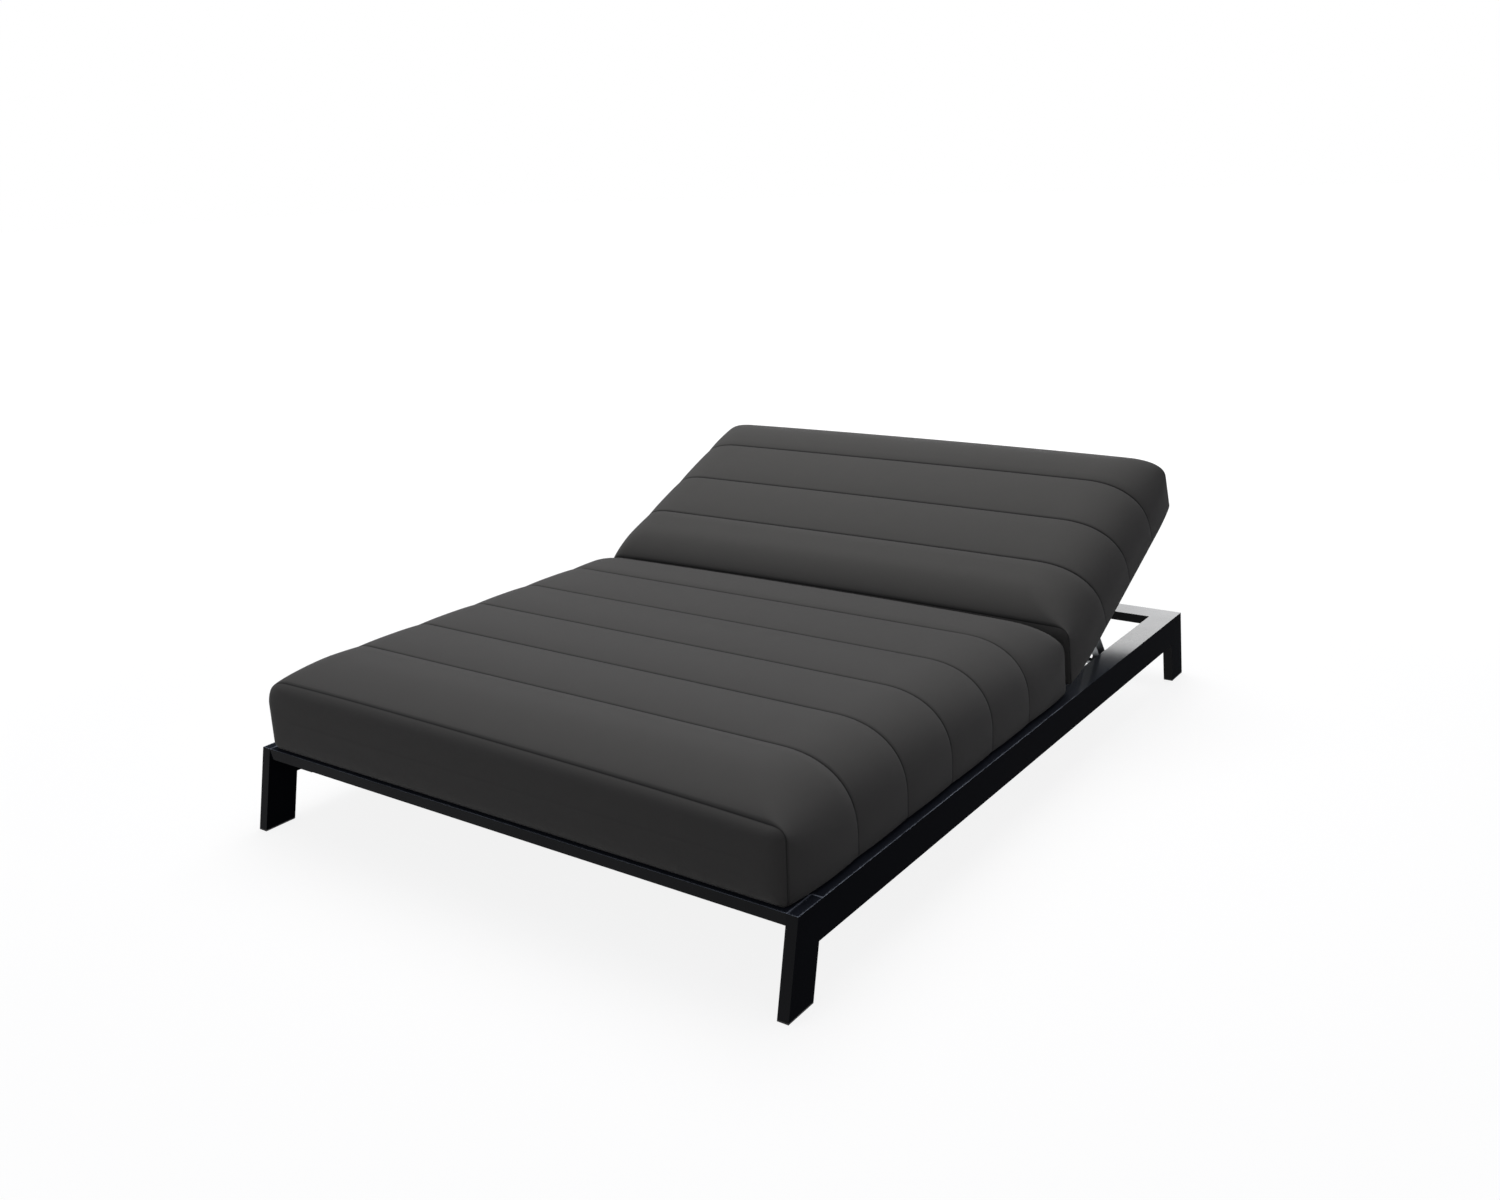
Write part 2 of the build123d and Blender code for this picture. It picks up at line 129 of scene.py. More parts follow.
def add_node(
    tree: bpy.types.NodeTree, kind: str, inputs: dict | None = None, **settings: object
) -> bpy.types.Node:
    """Add one node with its settings, values and links.

    Args:
        tree: Node tree that the node joins.
        kind: Blender's type name of the node, after the word ShaderNode.
        inputs: Socket name or index, to a value or to the output socket that feeds it.
        settings: Properties of the node itself.

    Returns:
        The new node.
    """
    node = tree.nodes.new("ShaderNode" + kind)
    for name, value in settings.items():
        setattr(node, name, value)
    for key, value in (inputs or {}).items():
        if isinstance(value, bpy.types.NodeSocket):
            tree.links.new(value, node.inputs[key])
        else:
            node.inputs[key].default_value = value
    return node


def empty_material(name: str) -> tuple[bpy.types.Material, bpy.types.NodeTree]:
    """Make a node material with nothing in its tree.

    Args:
        name: Name of the material.

    Returns:
        The material and its node tree.
    """
    material = bpy.data.materials.new(name)
    material.use_nodes = True
    material.node_tree.nodes.clear()
    return material, material.node_tree


@dataclass(frozen=True)
class OutdoorCloth:
    """Solution-dyed polyester canvas, plain woven: matte, with a faint cross of threads."""

    name: str = "charcoal_polyester_canvas"
    thread: str = "#575653"
    shaded_thread: str = "#4e4d4b"
    # Painted shade: the cloth darkens towards this colour in the creases along the seams and round the
    # panels.
    seam: str = "#111112"
    roughness: float = 0.88
    sheen: float = 0.10
    # A real thread is about 0.5 mm wide; it is drawn three times as coarse, so that it can show.
    thread_spacing: float = 1.5 * MILLIMETRE
    thread_relief: float = 0.25 * MILLIMETRE
    cloud_size: float = 60 * MILLIMETRE

    def build(self) -> bpy.types.Material:
        """Weave the cloth from two crossing waves on the piece's own UV map, in metres, and paint
        shade into the creases along its seams.

        Returns:
            The cloth's material.
        """
        material, tree = empty_material(self.name)
        surface = add_node(tree, "UVMap", uv_map="cloth")
        wave_scale = 2 * math.pi / (WAVE_TURN * self.thread_spacing)
        threads = [
            add_node(
                tree,
                "TexWave",
                {
                    "Vector": surface.outputs["UV"],
                    "Scale": wave_scale,
                    "Distortion": 0.4,
                    "Detail": 1.0,
                },
                wave_type="BANDS",
                bands_direction=direction,
                wave_profile="SIN",
            )
            for direction in ("X", "Y")
        ]
        cross = add_node(
            tree,
            "Math",
            {0: threads[0].outputs["Fac"], 1: threads[1].outputs["Fac"]},
            operation="MULTIPLY",
        )
        clouds = add_node(
            tree,
            "TexNoise",
            {"Vector": surface.outputs["UV"], "Scale": 1 / self.cloud_size, "Detail": 4.0},
        )
        tone = add_node(
            tree, "Math", {0: cross.outputs[0], 1: clouds.outputs["Fac"]}, operation="MULTIPLY"
        )
        yarn = add_node(
            tree,
            "Mix",
            {
                "Factor": tone.outputs[0],
                "A": linear_colour(self.shaded_thread),
                "B": linear_colour(self.thread),
            },
            data_type="RGBA",
        )
        # Painted shade in the seams' creases: the seam attribute mixes the cloth towards the dark seam
        # colour.
        seam_crease_shade = add_node(tree, "Attribute", attribute_name="seam")
        colour = add_node(
            tree,
            "Mix",
            {
                "Factor": seam_crease_shade.outputs["Fac"],
                "A": yarn.outputs["Result"],
                "B": linear_colour(self.seam),
            },
            data_type="RGBA",
        )
        relief = add_node(
            tree,
            "Bump",
            {"Height": cross.outputs[0], "Strength": 0.35, "Distance": self.thread_relief},
        )
        shader = add_node(
            tree,
            "BsdfPrincipled",
            {
                "Base Color": colour.outputs["Result"],
                "Roughness": self.roughness,
                "Sheen Weight": self.sheen,
                "Sheen Roughness": 0.5,
                "Specular IOR Level": 0.3,
                "Normal": relief.outputs["Normal"],
            },
        )
        add_node(tree, "OutputMaterial", {"Surface": shader.outputs["BSDF"]})
        return material


@dataclass(frozen=True)
class PowderCoat:
    """Powder coat baked on aluminium: near black, with a fine orange peel.

    It is matte on upright faces. Hands and cushions have polished the faces that look up to a gloss,
    and legs brushing past have done so a little on those that look to the foot end. The faces that
    look up are also painted a lighter bluish grey as a painted sheen, and a pale painted glint lies
    here and there along their edges, on the rails that the seat cushion lies on.
    """

    name: str = "black_powder_coat"
    coat: str = "#0c0d11"
    mottled: str = "#101218"
    # Painted sheen: faces that look up are painted this lighter bluish grey.
    rubbed: str = "#292d36"
    # Painted highlight: a pale glint painted along the upper edges of the rails.
    pale_edge: str = "#b4bdca"
    roughness: float = 0.85
    gloss: float = 0.5
    brushed_share: float = 0.34
    gloss_roughness: float = 0.06
    peel_size: float = 1.6 * MILLIMETRE
    peel_relief: float = 0.1 * MILLIMETRE
    cloud_size: float = 140 * MILLIMETRE
    # Cosines between which a face passes from upright to looking up, or to the foot end.
    facing: tuple[float, float] = (0.6, 0.95)
    # Noise from the clouds makes the gloss weaker or stronger by these shares.
    smear: tuple[float, float] = (0.8, 1.2)
    edge_radius: float = 5 * MILLIMETRE
    # Cosines of the turn at an edge: flat, and under the full painted glint.
    edge_turn: tuple[float, float] = (0.99, 0.88)
    # Noise breaks the painted edge glint into patches, and it fades out towards the head end between
    # two places along Y.
    wear_size: float = 45 * MILLIMETRE
    wear_noise: tuple[float, float] = (0.34, 0.54)
    least_wear: float = 0.35
    wear_reach: float = 300 * MILLIMETRE
    wear_fade: float = 150 * MILLIMETRE

    def build(self) -> bpy.types.Material:
        """Mottle the coat slightly, paint a sheen on its tops and a glint along their edges, and raise
        its orange peel on Object coordinates.

        Returns:
            The coat's material.
        """
        material, tree = empty_material(self.name)
        place = add_node(tree, "TexCoord").outputs["Object"]
        clouds = add_node(
            tree, "TexNoise", {"Vector": place, "Scale": 1 / self.cloud_size, "Detail": 5.0}
        )
        peel = add_node(tree, "TexNoise", {"Vector": place, "Scale": 1 / self.peel_size, "Detail": 2.0})
        colour = add_node(
            tree,
            "Mix",
            {
                "Factor": clouds.outputs["Fac"],
                "A": linear_colour(self.coat),
                "B": linear_colour(self.mottled),
            },
            data_type="RGBA",
        )
        facing = add_node(tree, "TexCoord").outputs["Normal"]
        facing = add_node(tree, "SeparateXYZ", {"Vector": facing}).outputs
        upright, full = self.facing
        upward = add_node(
            tree, "MapRange", {"Value": facing["Z"], "From Min": upright, "From Max": full}
        ).outputs["Result"]
        brushed = add_node(
            tree,
            "MapRange",
            {
                "Value": facing["Y"],
                "From Min": -upright,
                "From Max": -full,
                "To Max": self.brushed_share,
            },
        )
        glossy = add_node(tree, "Math", {0: upward, 1: brushed.outputs["Result"]}, operation="MAXIMUM")
        # Painted sheen: the faces that look up turn to the lighter bluish grey.
        rubbed = add_node(
            tree,
            "Mix",
            {"Factor": upward, "A": colour.outputs["Result"], "B": linear_colour(self.rubbed)},
            data_type="RGBA",
        )
        rounding = add_node(tree, "Bevel", {"Radius": self.edge_radius}, samples=6)
        plain = add_node(tree, "NewGeometry").outputs["True Normal"]
        turned = add_node(
            tree, "VectorMath", {0: rounding.outputs["Normal"], 1: plain}, operation="DOT_PRODUCT"
        )
        at_edge = add_node(
            tree,
            "MapRange",
            {
                "Value": turned.outputs["Value"],
                "From Min": self.edge_turn[0],
                "From Max": self.edge_turn[1],
            },
        )
        # Painted highlight: the upper edges of faces that look up, beside the seat, are paled in
        # patches as a painted glint.
        patches = add_node(
            tree,
            "TexNoise",
            {"Vector": place, "Scale": 1 / self.wear_size, "Detail": 6.0, "Roughness": 0.65},
        )
        glint_patches = add_node(
            tree,
            "MapRange",
            {
                "Value": patches.outputs["Fac"],
                "From Min": self.wear_noise[0],
                "From Max": self.wear_noise[1],
                "To Min": self.least_wear,
            },
        )
        beside_seat = add_node(
            tree,
            "MapRange",
            {
                "Value": add_node(tree, "SeparateXYZ", {"Vector": place}).outputs["Y"],
                "From Min": self.wear_reach,
                "From Max": self.wear_reach - self.wear_fade,
            },
        )
        edge_glint_share = upward
        for share in (beside_seat, at_edge, glint_patches):
            edge_glint_share = add_node(
                tree, "Math", {0: edge_glint_share, 1: share.outputs["Result"]}, operation="MULTIPLY"
            ).outputs[0]
        glinted_colour = add_node(
            tree,
            "Mix",
            {"Factor": edge_glint_share, "A": rubbed.outputs["Result"], "B": linear_colour(self.pale_edge)},
            data_type="RGBA",
        )
        smear = add_node(
            tree,
            "MapRange",
            {"Value": clouds.outputs["Fac"], "To Min": self.smear[0], "To Max": self.smear[1]},
        )
        gloss = glossy.outputs[0]
        for share in (self.gloss, smear.outputs["Result"]):
            gloss = add_node(tree, "Math", {0: gloss, 1: share}, operation="MULTIPLY").outputs[0]
        relief = add_node(
            tree,
            "Bump",
            {"Height": peel.outputs["Fac"], "Strength": 0.05, "Distance": self.peel_relief},
        )
        shader = add_node(
            tree,
            "BsdfPrincipled",
            {
                "Base Color": glinted_colour.outputs["Result"],
                "Roughness": self.roughness,
                "Specular IOR Level": 0.03,
                "Coat Weight": gloss,
                "Coat Roughness": self.gloss_roughness,
                "Normal": relief.outputs["Normal"],
                "Coat Normal": relief.outputs["Normal"],
            },
        )
        add_node(tree, "OutputMaterial", {"Surface": shader.outputs["BSDF"]})
        return material


@dataclass(frozen=True)
class PlainMetal:
    """Bare metal with faint brushing: satin grey aluminium, or zinc-plated steel."""

    name: str
    metal: str
    roughness: float
    roughness_spread: float = 0.08
    brush_spacing: float = 0.8 * MILLIMETRE
    brush_relief: float = 0.05 * MILLIMETRE
    # Brush marks run along X, so the noise is stretched that way.
    brush_stretch: tuple[float, float, float] = (0.04, 1.0, 1.0)

    def build(self) -> bpy.types.Material:
        """Brush the metal across the lounger with stretched noise.

        Returns:
            The metal's material.
        """
        material, tree = empty_material(self.name)
        place = add_node(tree, "TexCoord").outputs["Object"]
        stretch = add_node(tree, "Mapping", {"Vector": place, "Scale": self.brush_stretch})
        brushing = add_node(
            tree,
            "TexNoise",
            {"Vector": stretch.outputs["Vector"], "Scale": 1 / self.brush_spacing, "Detail": 3.0},
        )
        gloss = add_node(
            tree,
            "MapRange",
            {
                "Value": brushing.outputs["Fac"],
                "To Min": self.roughness - self.roughness_spread,
                "To Max": self.roughness + self.roughness_spread,
            },
        )
        relief = add_node(
            tree,
            "Bump",
            {"Height": brushing.outputs["Fac"], "Strength": 0.1, "Distance": self.brush_relief},
        )
        shader = add_node(
            tree,
            "BsdfPrincipled",
            {
                "Base Color": linear_colour(self.metal),
                "Metallic": 1.0,
                "Roughness": gloss.outputs["Result"],
                "Normal": relief.outputs["Normal"],
            },
        )
        add_node(tree, "OutputMaterial", {"Surface": shader.outputs["BSDF"]})
        return material


@dataclass(frozen=True)
class MouldedBlack:
    """Moulded nylon or rubber: dull black with a fine spark-eroded grain."""

    name: str
    tint: str
    roughness: float
    grain_size: float = 0.9 * MILLIMETRE
    grain_relief: float = 0.1 * MILLIMETRE

    def build(self) -> bpy.types.Material:
        """Grain the moulding with small cells.

        Returns:
            The moulding's material.
        """
        material, tree = empty_material(self.name)
        place = add_node(tree, "TexCoord").outputs["Object"]
        grain = add_node(tree, "TexVoronoi", {"Vector": place, "Scale": 1 / self.grain_size})
        relief = add_node(
            tree,
            "Bump",
            {"Height": grain.outputs["Distance"], "Strength": 0.3, "Distance": self.grain_relief},
        )
        shader = add_node(
            tree,
            "BsdfPrincipled",
            {
                "Base Color": linear_colour(self.tint),
                "Roughness": self.roughness,
                "Normal": relief.outputs["Normal"],
            },
        )
        add_node(tree, "OutputMaterial", {"Surface": shader.outputs["BSDF"]})
        return material


class Finishes:
    """Every finish of the lounger, built once and handed out by slot."""

    def __init__(self) -> None:
        """Build the materials."""
        self.by_slot: dict[Slot, bpy.types.Material] = {
            Slot.FRAME_METAL: PowderCoat().build(),
            Slot.PROP_METAL: PlainMetal("satin_aluminium", "#8f9294", 0.42).build(),
            Slot.STEEL_PIN: PlainMetal("zinc_plated_steel", "#b4b5b4", 0.32).build(),
            Slot.BLACK_PLASTIC: MouldedBlack("moulded_black_nylon", "#161617", 0.55).build(),
            Slot.BLACK_RUBBER: MouldedBlack("black_stop_rubber", "#131313", 0.85).build(),
            Slot.CUSHION_CLOTH: OutdoorCloth().build(),
        }

    def dress(self, piece: bpy.types.Object, slot: Slot) -> None:
        """Give a piece the finish of a slot, as its only material."""
        piece.data.materials.clear()
        piece.data.materials.append(self.by_slot[slot])

    def dress_nodes(self, frame: dict) -> None:
        """Give each node of the frame the finish of its slot in the record."""
        slots = {part["node"]: Slot(part["material_slot"]) for part in frame["record"]["subparts"]}
        for name, node in frame["nodes"].items():
            for place in node.material_slots:
                place.material = self.by_slot[slots[name]]
            LOG.info("dressed %s as %s", name, slots[name].value)


def mesh_from_grid(name: str, points: np.ndarray, faces: np.ndarray) -> bpy.types.Object:
    """Make a mesh object of points and quads, with its place in its mesh.

    Args:
        name: Name of the piece.
        points: Array of N by 3 places.
        faces: Array of M by 4 indices.

    Returns:
        The new object, at the origin.
    """
    mesh = bpy.data.meshes.new(name)
    mesh.from_pydata(points.tolist(), [], faces.tolist())
    mesh.update()
    piece = bpy.data.objects.new(name, mesh)
    bpy.context.scene.collection.objects.link(piece)
    return piece


def points_of(mesh: bpy.types.Mesh) -> np.ndarray:
    """Read a mesh's points as an array of N by 3 places."""
    places = np.empty(len(mesh.vertices) * 3, dtype=np.float32)
    mesh.vertices.foreach_get("co", places)
    return places.reshape(-1, 3)


def weld(piece: bpy.types.Object) -> None:
    """Merge points that meet, and turn every face of a closed piece outwards."""
    shell = bmesh.new()
    shell.from_mesh(piece.data)
    bmesh.ops.remove_doubles(shell, verts=shell.verts, dist=WELD_DISTANCE)
    bmesh.ops.recalc_face_normals(shell, faces=shell.faces)
    shell.to_mesh(piece.data)
    shell.free()


@dataclass(frozen=True)
class FoamPush:
    """How foam fills a sewn cover: a short cloth simulation with the seams held where they are."""

    pressure: float = 1.0
    stiffness: float = 20.0
    bending: float = 4.0
    cover_mass: float = 0.3
    quality: int = 5
    frames: int = 20
    furthest: float = 5 * MILLIMETRE
    evening: int = 12
    # Points held by at least the first number get the second as their weight.
    grips: tuple[tuple[float, float], ...] = ((0.25, 0.5), (0.75, 1.0))

    def even(self, mesh: bpy.types.Mesh, move: np.ndarray, held: np.ndarray) -> np.ndarray:
        """Even out the movement: each point goes half way to its neighbours' mean, again and again.

        Args:
            mesh: The cover's mesh.
            move: Movement of each point.
            held: How firmly each point is held, from 0 to 1.

        Returns:
            The evened movement, which is nothing where a point is wholly held.
        """
        ends = np.empty(len(mesh.edges) * 2, dtype=np.int32)
        mesh.edges.foreach_get("vertices", ends)
        here = np.concatenate([ends[0::2], ends[1::2]])
        there = np.concatenate([ends[1::2], ends[0::2]])
        neighbours = np.bincount(here, minlength=len(move))
        free = np.clip(1 - held, 0, 1)[:, None]
        for _ in range(self.evening):
            sums = [np.bincount(here, weights=part[there], minlength=len(move)) for part in move.T]
            move = free * (move + np.stack(sums, axis=1) / neighbours[:, None]) / 2
        return move

    def settle(self, piece: bpy.types.Object, held: np.ndarray) -> None:
        """Simulate the cover and keep its movement in the mesh, capped softly.

        A point moves by the cap times the hyperbolic tangent of its movement over the cap.

        Args:
            piece: The sewn cover, closed.
            held: How firmly each point is held, from 0 to 1.
        """
        mesh = piece.data
        before = points_of(mesh)
        group = piece.vertex_groups.new(name="sewn")
        for least, weight in self.grips:
            group.add(np.flatnonzero(held >= least).tolist(), weight, "REPLACE")
        cloth = piece.modifiers.new("foam", "CLOTH")
        cloth.settings.quality = self.quality
        cloth.settings.mass = self.cover_mass
        cloth.settings.tension_stiffness = self.stiffness
        cloth.settings.compression_stiffness = self.stiffness
        cloth.settings.shear_stiffness = self.stiffness / 2
        cloth.settings.bending_stiffness = self.bending
        cloth.settings.use_pressure = True
        cloth.settings.uniform_pressure_force = self.pressure
        cloth.settings.vertex_group_mass = group.name
        cloth.settings.effector_weights.gravity = 0.0
        scene = bpy.context.scene
        for frame in range(1, self.frames + 1):
            scene.frame_set(frame)
        settled = piece.evaluated_get(bpy.context.evaluated_depsgraph_get()).data
        move = points_of(settled) - before
        length = np.linalg.norm(move, axis=1, keepdims=True)
        LOG.info("foam moved %s by %.1f mm at most", piece.name, 1000 * float(length.max()))
        move *= self.furthest * np.tanh(length / self.furthest) / np.maximum(length, 1e-9)
        move = self.even(mesh, move, held)
        scene.frame_set(1)
        piece.modifiers.clear()
        piece.vertex_groups.clear()
        mesh.vertices.foreach_set("co", (before + move).ravel().astype(np.float32))
        mesh.update()


@dataclass(frozen=True)
class CushionPlace:
    """Where a cushion lies: a base line from its outer panel to its panel at the hinge."""

    start: tuple[float, float, float]
    along: tuple[float, float, float]
    up: tuple[float, float, float]
    length: float


@dataclass(frozen=True)
class EndPanel:
    """The flat boxed end of a cushion: a panel with a seam all round, under a rolled edge."""

    height: float
    roll_length: float
    left_corner: tuple[float, float]
    right_corner: tuple[float, float]
    lean: float = 0.0
    tilt: float = 0.0
    left_droop: float = 9 * MILLIMETRE
    right_droop: float = 9 * MILLIMETRE
    droop_power: float = 4.0
    draw: float = 8 * MILLIMETRE
    bulge: float = 12 * MILLIMETRE
    bulge_power: float = 3.0
    roll_power: float = 1.7


@dataclass(frozen=True)
class Shoulders:
    """Widths of a cushion's rounded shoulders: left and right, at its outer end and its hinge end."""

    left_outer: float
    left_hinge: float
    right_outer: float
    right_hinge: float
    height: float = 152 * MILLIMETRE
    power: float = 2.45

    def width(self, side: Side, share: np.ndarray) -> np.ndarray:
        """Width of one shoulder at a share of the way from the outer end to the hinge."""
        if side is Side.LEFT:
            return self.left_outer + (self.left_hinge - self.left_outer) * share
        return self.right_outer + (self.right_hinge - self.right_outer) * share


@dataclass
class QuiltedCushion:
    """A foam cushion in a cover sewn in channels across, with a boxed panel at each end.

    The surface is a grid: one way runs round the cushion, the other along it. Each ring is an
    outline of the cover, and each seam is a ring that is drawn in.
    """

    name: str
    node: str
    body: Body
    place: CushionPlace
    seams: tuple[float, ...]
    outer: EndPanel
    inner: EndPanel
    shoulders: Shoulders
    thickness: float
    foam: FoamPush = FoamPush()
    half_width: float = 734 * MILLIMETRE
    crown: float = 3 * MILLIMETRE
    lower_radius: float = 9 * MILLIMETRE
    seam_depth: float = 5 * MILLIMETRE
    seam_draw: float = 5 * MILLIMETRE
    base_draw: float = 0.5
    left_slack: float = 0.3
    crease_depth: float = 2.5 * MILLIMETRE
    crease_reach: float = 5 * MILLIMETRE
    crease_shares: tuple[float, ...] = (-1.0, -0.6, -0.3, 0.0, 0.3, 0.6, 1.0)
    crease_pull_share: float = 0.6
    # Reach of the painted crease shade, and of the foam's hold, on each side of a seam.
    seam_reach: float = 3.5 * MILLIMETRE
    panel_seam_shade: float = 0.4
    held_base_share: float = 0.4
    channel_power: float = 2.6
    channel_rings: int = 14
    roll_rings: int = 14
    roll_crowding: float = 1.8
    cap_rings: int = 12
    cap_crowding: float = 2.2
    panel_closing: float = 0.96
    top_points: int = 40
    shoulder_points: int = 26
    side_points: int = 3
    lower_points: int = 5

    def stations(self) -> np.ndarray:
        """Distances of the rings from the outer panel, crowded beside each seam and panel."""
        length = self.place.length
        crease = self.crease_reach
        beside = crease * np.array(self.crease_shares)
        creases = [seam + beside for seam in self.seams]
        swing = (1 - np.cos(np.linspace(0, math.pi, self.channel_rings + 2))) / 2
        spans = [
            near + crease + (far - near - 2 * crease) * swing[1:-1]
            for near, far in zip(self.seams, self.seams[1:])
        ]
        turn = np.linspace(0, 1, self.roll_rings + 1)[:-1] ** self.roll_crowding
        first = (self.seams[0] - crease) * turn
        last = length - (length - self.seams[-1] - crease) * turn
        return np.sort(np.concatenate([first, *creases, *spans, last]))

    def fullness(self, along: np.ndarray) -> np.ndarray:
        """How far the cover stands between seams: 0 on a seam, 1 on a crest.

        Between two seams it is one less a power of the distance from the middle, as a share of the
        half channel. An end channel is full from its panel to its middle.
        """
        length = self.place.length
        edges = np.array([-self.seams[0], *self.seams, 2 * length - self.seams[-1]])
        index = np.clip(np.searchsorted(edges, along, side="right") - 1, 0, len(edges) - 2)
        near, far = edges[index], edges[index + 1]
        share = np.abs(2 * (along - near) / (far - near) - 1)
        end_channel = (index == 0) | (index == len(edges) - 2)
        share = np.where(end_channel, np.clip(2 * share - 1, 0, 1), share)
        return 1 - share**self.channel_power

    def nearness(self, along: np.ndarray, reach: float) -> np.ndarray:
        """How near each ring is to a seam: 1 on it, falling to 0 at the reach, as a cosine."""
        gap = np.abs(along[:, None] - np.array(self.seams)[None, :]).min(axis=1)
        return 0.5 + 0.5 * np.cos(math.pi * np.clip(gap / reach, 0, 1))

    @staticmethod
    def roll(panel: EndPanel, gap: np.ndarray) -> np.ndarray:
        """How far the cover has rolled up from a panel: 0 on its seam, 1 past the roll.

        It is a quarter of a superellipse over the roll's length.
        """
        left = 1 - np.clip(gap / panel.roll_length, 0, 1)
        return (1 - left**panel.roll_power) ** (1 / panel.roll_power)

    def ring_sizes(self, along: np.ndarray) -> dict[str, np.ndarray]:
        """Sizes of the outline at each ring, as columns.

        The full height and width lose both rolls, and the corners grow from the panels' small ones
        to the full shoulders. Each seam's dip and pull are kept apart, with their sharp crease.
        """
        length = self.place.length
        drawn = 1 - self.fullness(along)
        crease = self.crease_depth * self.nearness(along, self.crease_reach)
        height = np.full_like(along, self.thickness)
        width = np.full_like(along, self.half_width)
        share = along / length
        sizes = {
            "left": self.shoulders.width(Side.LEFT, share),
            "right": self.shoulders.width(Side.RIGHT, share),
            "left_rise": np.full_like(along, self.shoulders.height),
            "right_rise": np.full_like(along, self.shoulders.height),
            "dip": self.seam_depth * drawn,
            "pull": self.seam_draw * drawn,
            "crease": crease,
            "left_droop": np.zeros_like(along),
            "right_droop": np.zeros_like(along),
            "droop_power": np.full_like(along, 4.0),
            "lean": np.zeros_like(along),
            "tilt": np.zeros_like(along),
        }
        for panel, gap in ((self.outer, along), (self.inner, length - along)):
            rolled = self.roll(panel, gap)
            height = height - (self.thickness - panel.height) * (1 - rolled)
            width = width - panel.draw * (1 - rolled)
            for side, corner in ((Side.LEFT, panel.left_corner), (Side.RIGHT, panel.right_corner)):
                for key, size in zip((side.word, f"{side.word}_rise"), corner):
                    sizes[key] = size + (sizes[key] - size) * rolled
            sizes["left_droop"] += panel.left_droop * (1 - rolled)
            sizes["right_droop"] += panel.right_droop * (1 - rolled)
            sizes["droop_power"][gap < length / 2] = panel.droop_power
            fade = np.clip(1 - gap / (2 * panel.roll_length), 0, 1) ** 2
            sizes["lean"] += panel.lean * fade
            sizes["tilt"] += panel.tilt * (1 - rolled)
        sizes["height"], sizes["width"] = height, width
        return {key: value[:, None] for key, value in sizes.items()}

    def half_outline(self, sizes: dict[str, np.ndarray], side: Side) -> tuple[np.ndarray, np.ndarray]:
        """One half of every ring's outline, from the middle of the top to the middle of the base.

        It is a crowned top, a quarter of a superellipse, a straight side, a quarter circle and a
        flat base.

        Args:
            sizes: Columns of the ring sizes.
            side: Which half.

        Returns:
            Places across and up, each an array of rings by points.
        """
        width, height = sizes["width"], sizes["height"]
        reach, rise = sizes[side.word], sizes[f"{side.word}_rise"]
        low = self.lower_radius
        power = 2 / self.shoulders.power
        top = np.linspace(0, 1, self.top_points, endpoint=False)[None, :]
        turn = np.linspace(0, math.pi / 2, self.shoulder_points, endpoint=False)[None, :]
        down = np.linspace(0, 1, self.side_points, endpoint=False)[None, :]
        corner = np.linspace(0, math.pi / 2, self.lower_points, endpoint=False)[None, :]
        base = np.linspace(1, 0, self.top_points)[None, :]
        across = np.concatenate(
            [
                (width - reach) * top,
                width - reach + reach * np.sin(turn) ** power,
                width + 0 * down,
                width - low + low * np.cos(corner),
                (width - low) * base,
            ],
            axis=1,
        )
        up = np.concatenate(
            [
                height + 0 * top,
                height - rise + rise * np.cos(turn) ** power,
                height - rise + (low - height + rise) * down,
                low - low * np.sin(corner) + 0 * width,
                0 * base + 0 * width,
            ],
            axis=1,
        )
        edge, lift = across / width, up / height
        rounding = self.crown * (1 - edge**2)
        rounding = rounding - sizes[f"{side.word}_droop"] * edge ** sizes["droop_power"]
        rounding = rounding + side.value * sizes["tilt"] * edge
        slack = 1 - (1 - self.left_slack) * edge**2 if side is Side.LEFT else 1.0
        up = up + (rounding - sizes["dip"] * slack - sizes["crease"]) * lift
        pull = sizes["pull"] * slack * (self.base_draw + (1 - self.base_draw) * lift)
        across = across - (pull + self.crease_pull_share * sizes["crease"] * lift) * edge**2
        return side.value * across, up

    def cap(
        self, panel: EndPanel, across: np.ndarray, along: np.ndarray, up: np.ndarray, way: int
    ) -> tuple[np.ndarray, np.ndarray, np.ndarray]:
        """Rings that fill a panel, drawn in from its seam towards a slit across its middle.

        The cloth domes out of its seam: by the bulge, times one less a power of the share of the
        way that is left to the slit, so it is steepest beside the seam.

        Args:
            panel: The panel.
            across: Places across of the seam ring.
            along: Places along of the seam ring.
            up: Places up of the seam ring.
            way: Which way the panel faces along the cushion, 1 or -1.

        Returns:
            Places across, along and up of the added rings, the last one round the slit.
        """
        share = (np.arange(1, self.cap_rings + 1) / self.cap_rings)[:, None] ** self.cap_crowding
        middle = 0.5 * up.max()
        stand = panel.bulge * (1 - (1 - share) ** panel.bulge_power)
        new_across = across * (1 - share * middle / np.abs(across).max())
        new_up = up + self.panel_closing * (middle - up) * share
        new_along = along - way * (new_up - up) * math.tan(panel.lean) + way * stand
        return new_across, new_along, new_up

    @staticmethod
    def slit(first: int, count: int) -> np.ndarray:
        """Faces that close a slit, from each point of its top to its partner of the base.

        Args:
            first: Index of the ring's first point, in the middle of its top.
            count: Points of the ring, the same on both sides.

        Returns:
            Array of faces by four indices.
        """
        half = count // 2 + 1
        step = np.arange(half // 2 - 1)
        right = np.stack([step, step + 1, half - 2 - step, half - 1 - step], axis=-1)
        left = (count - right) % count
        return first + np.concatenate([right, left])

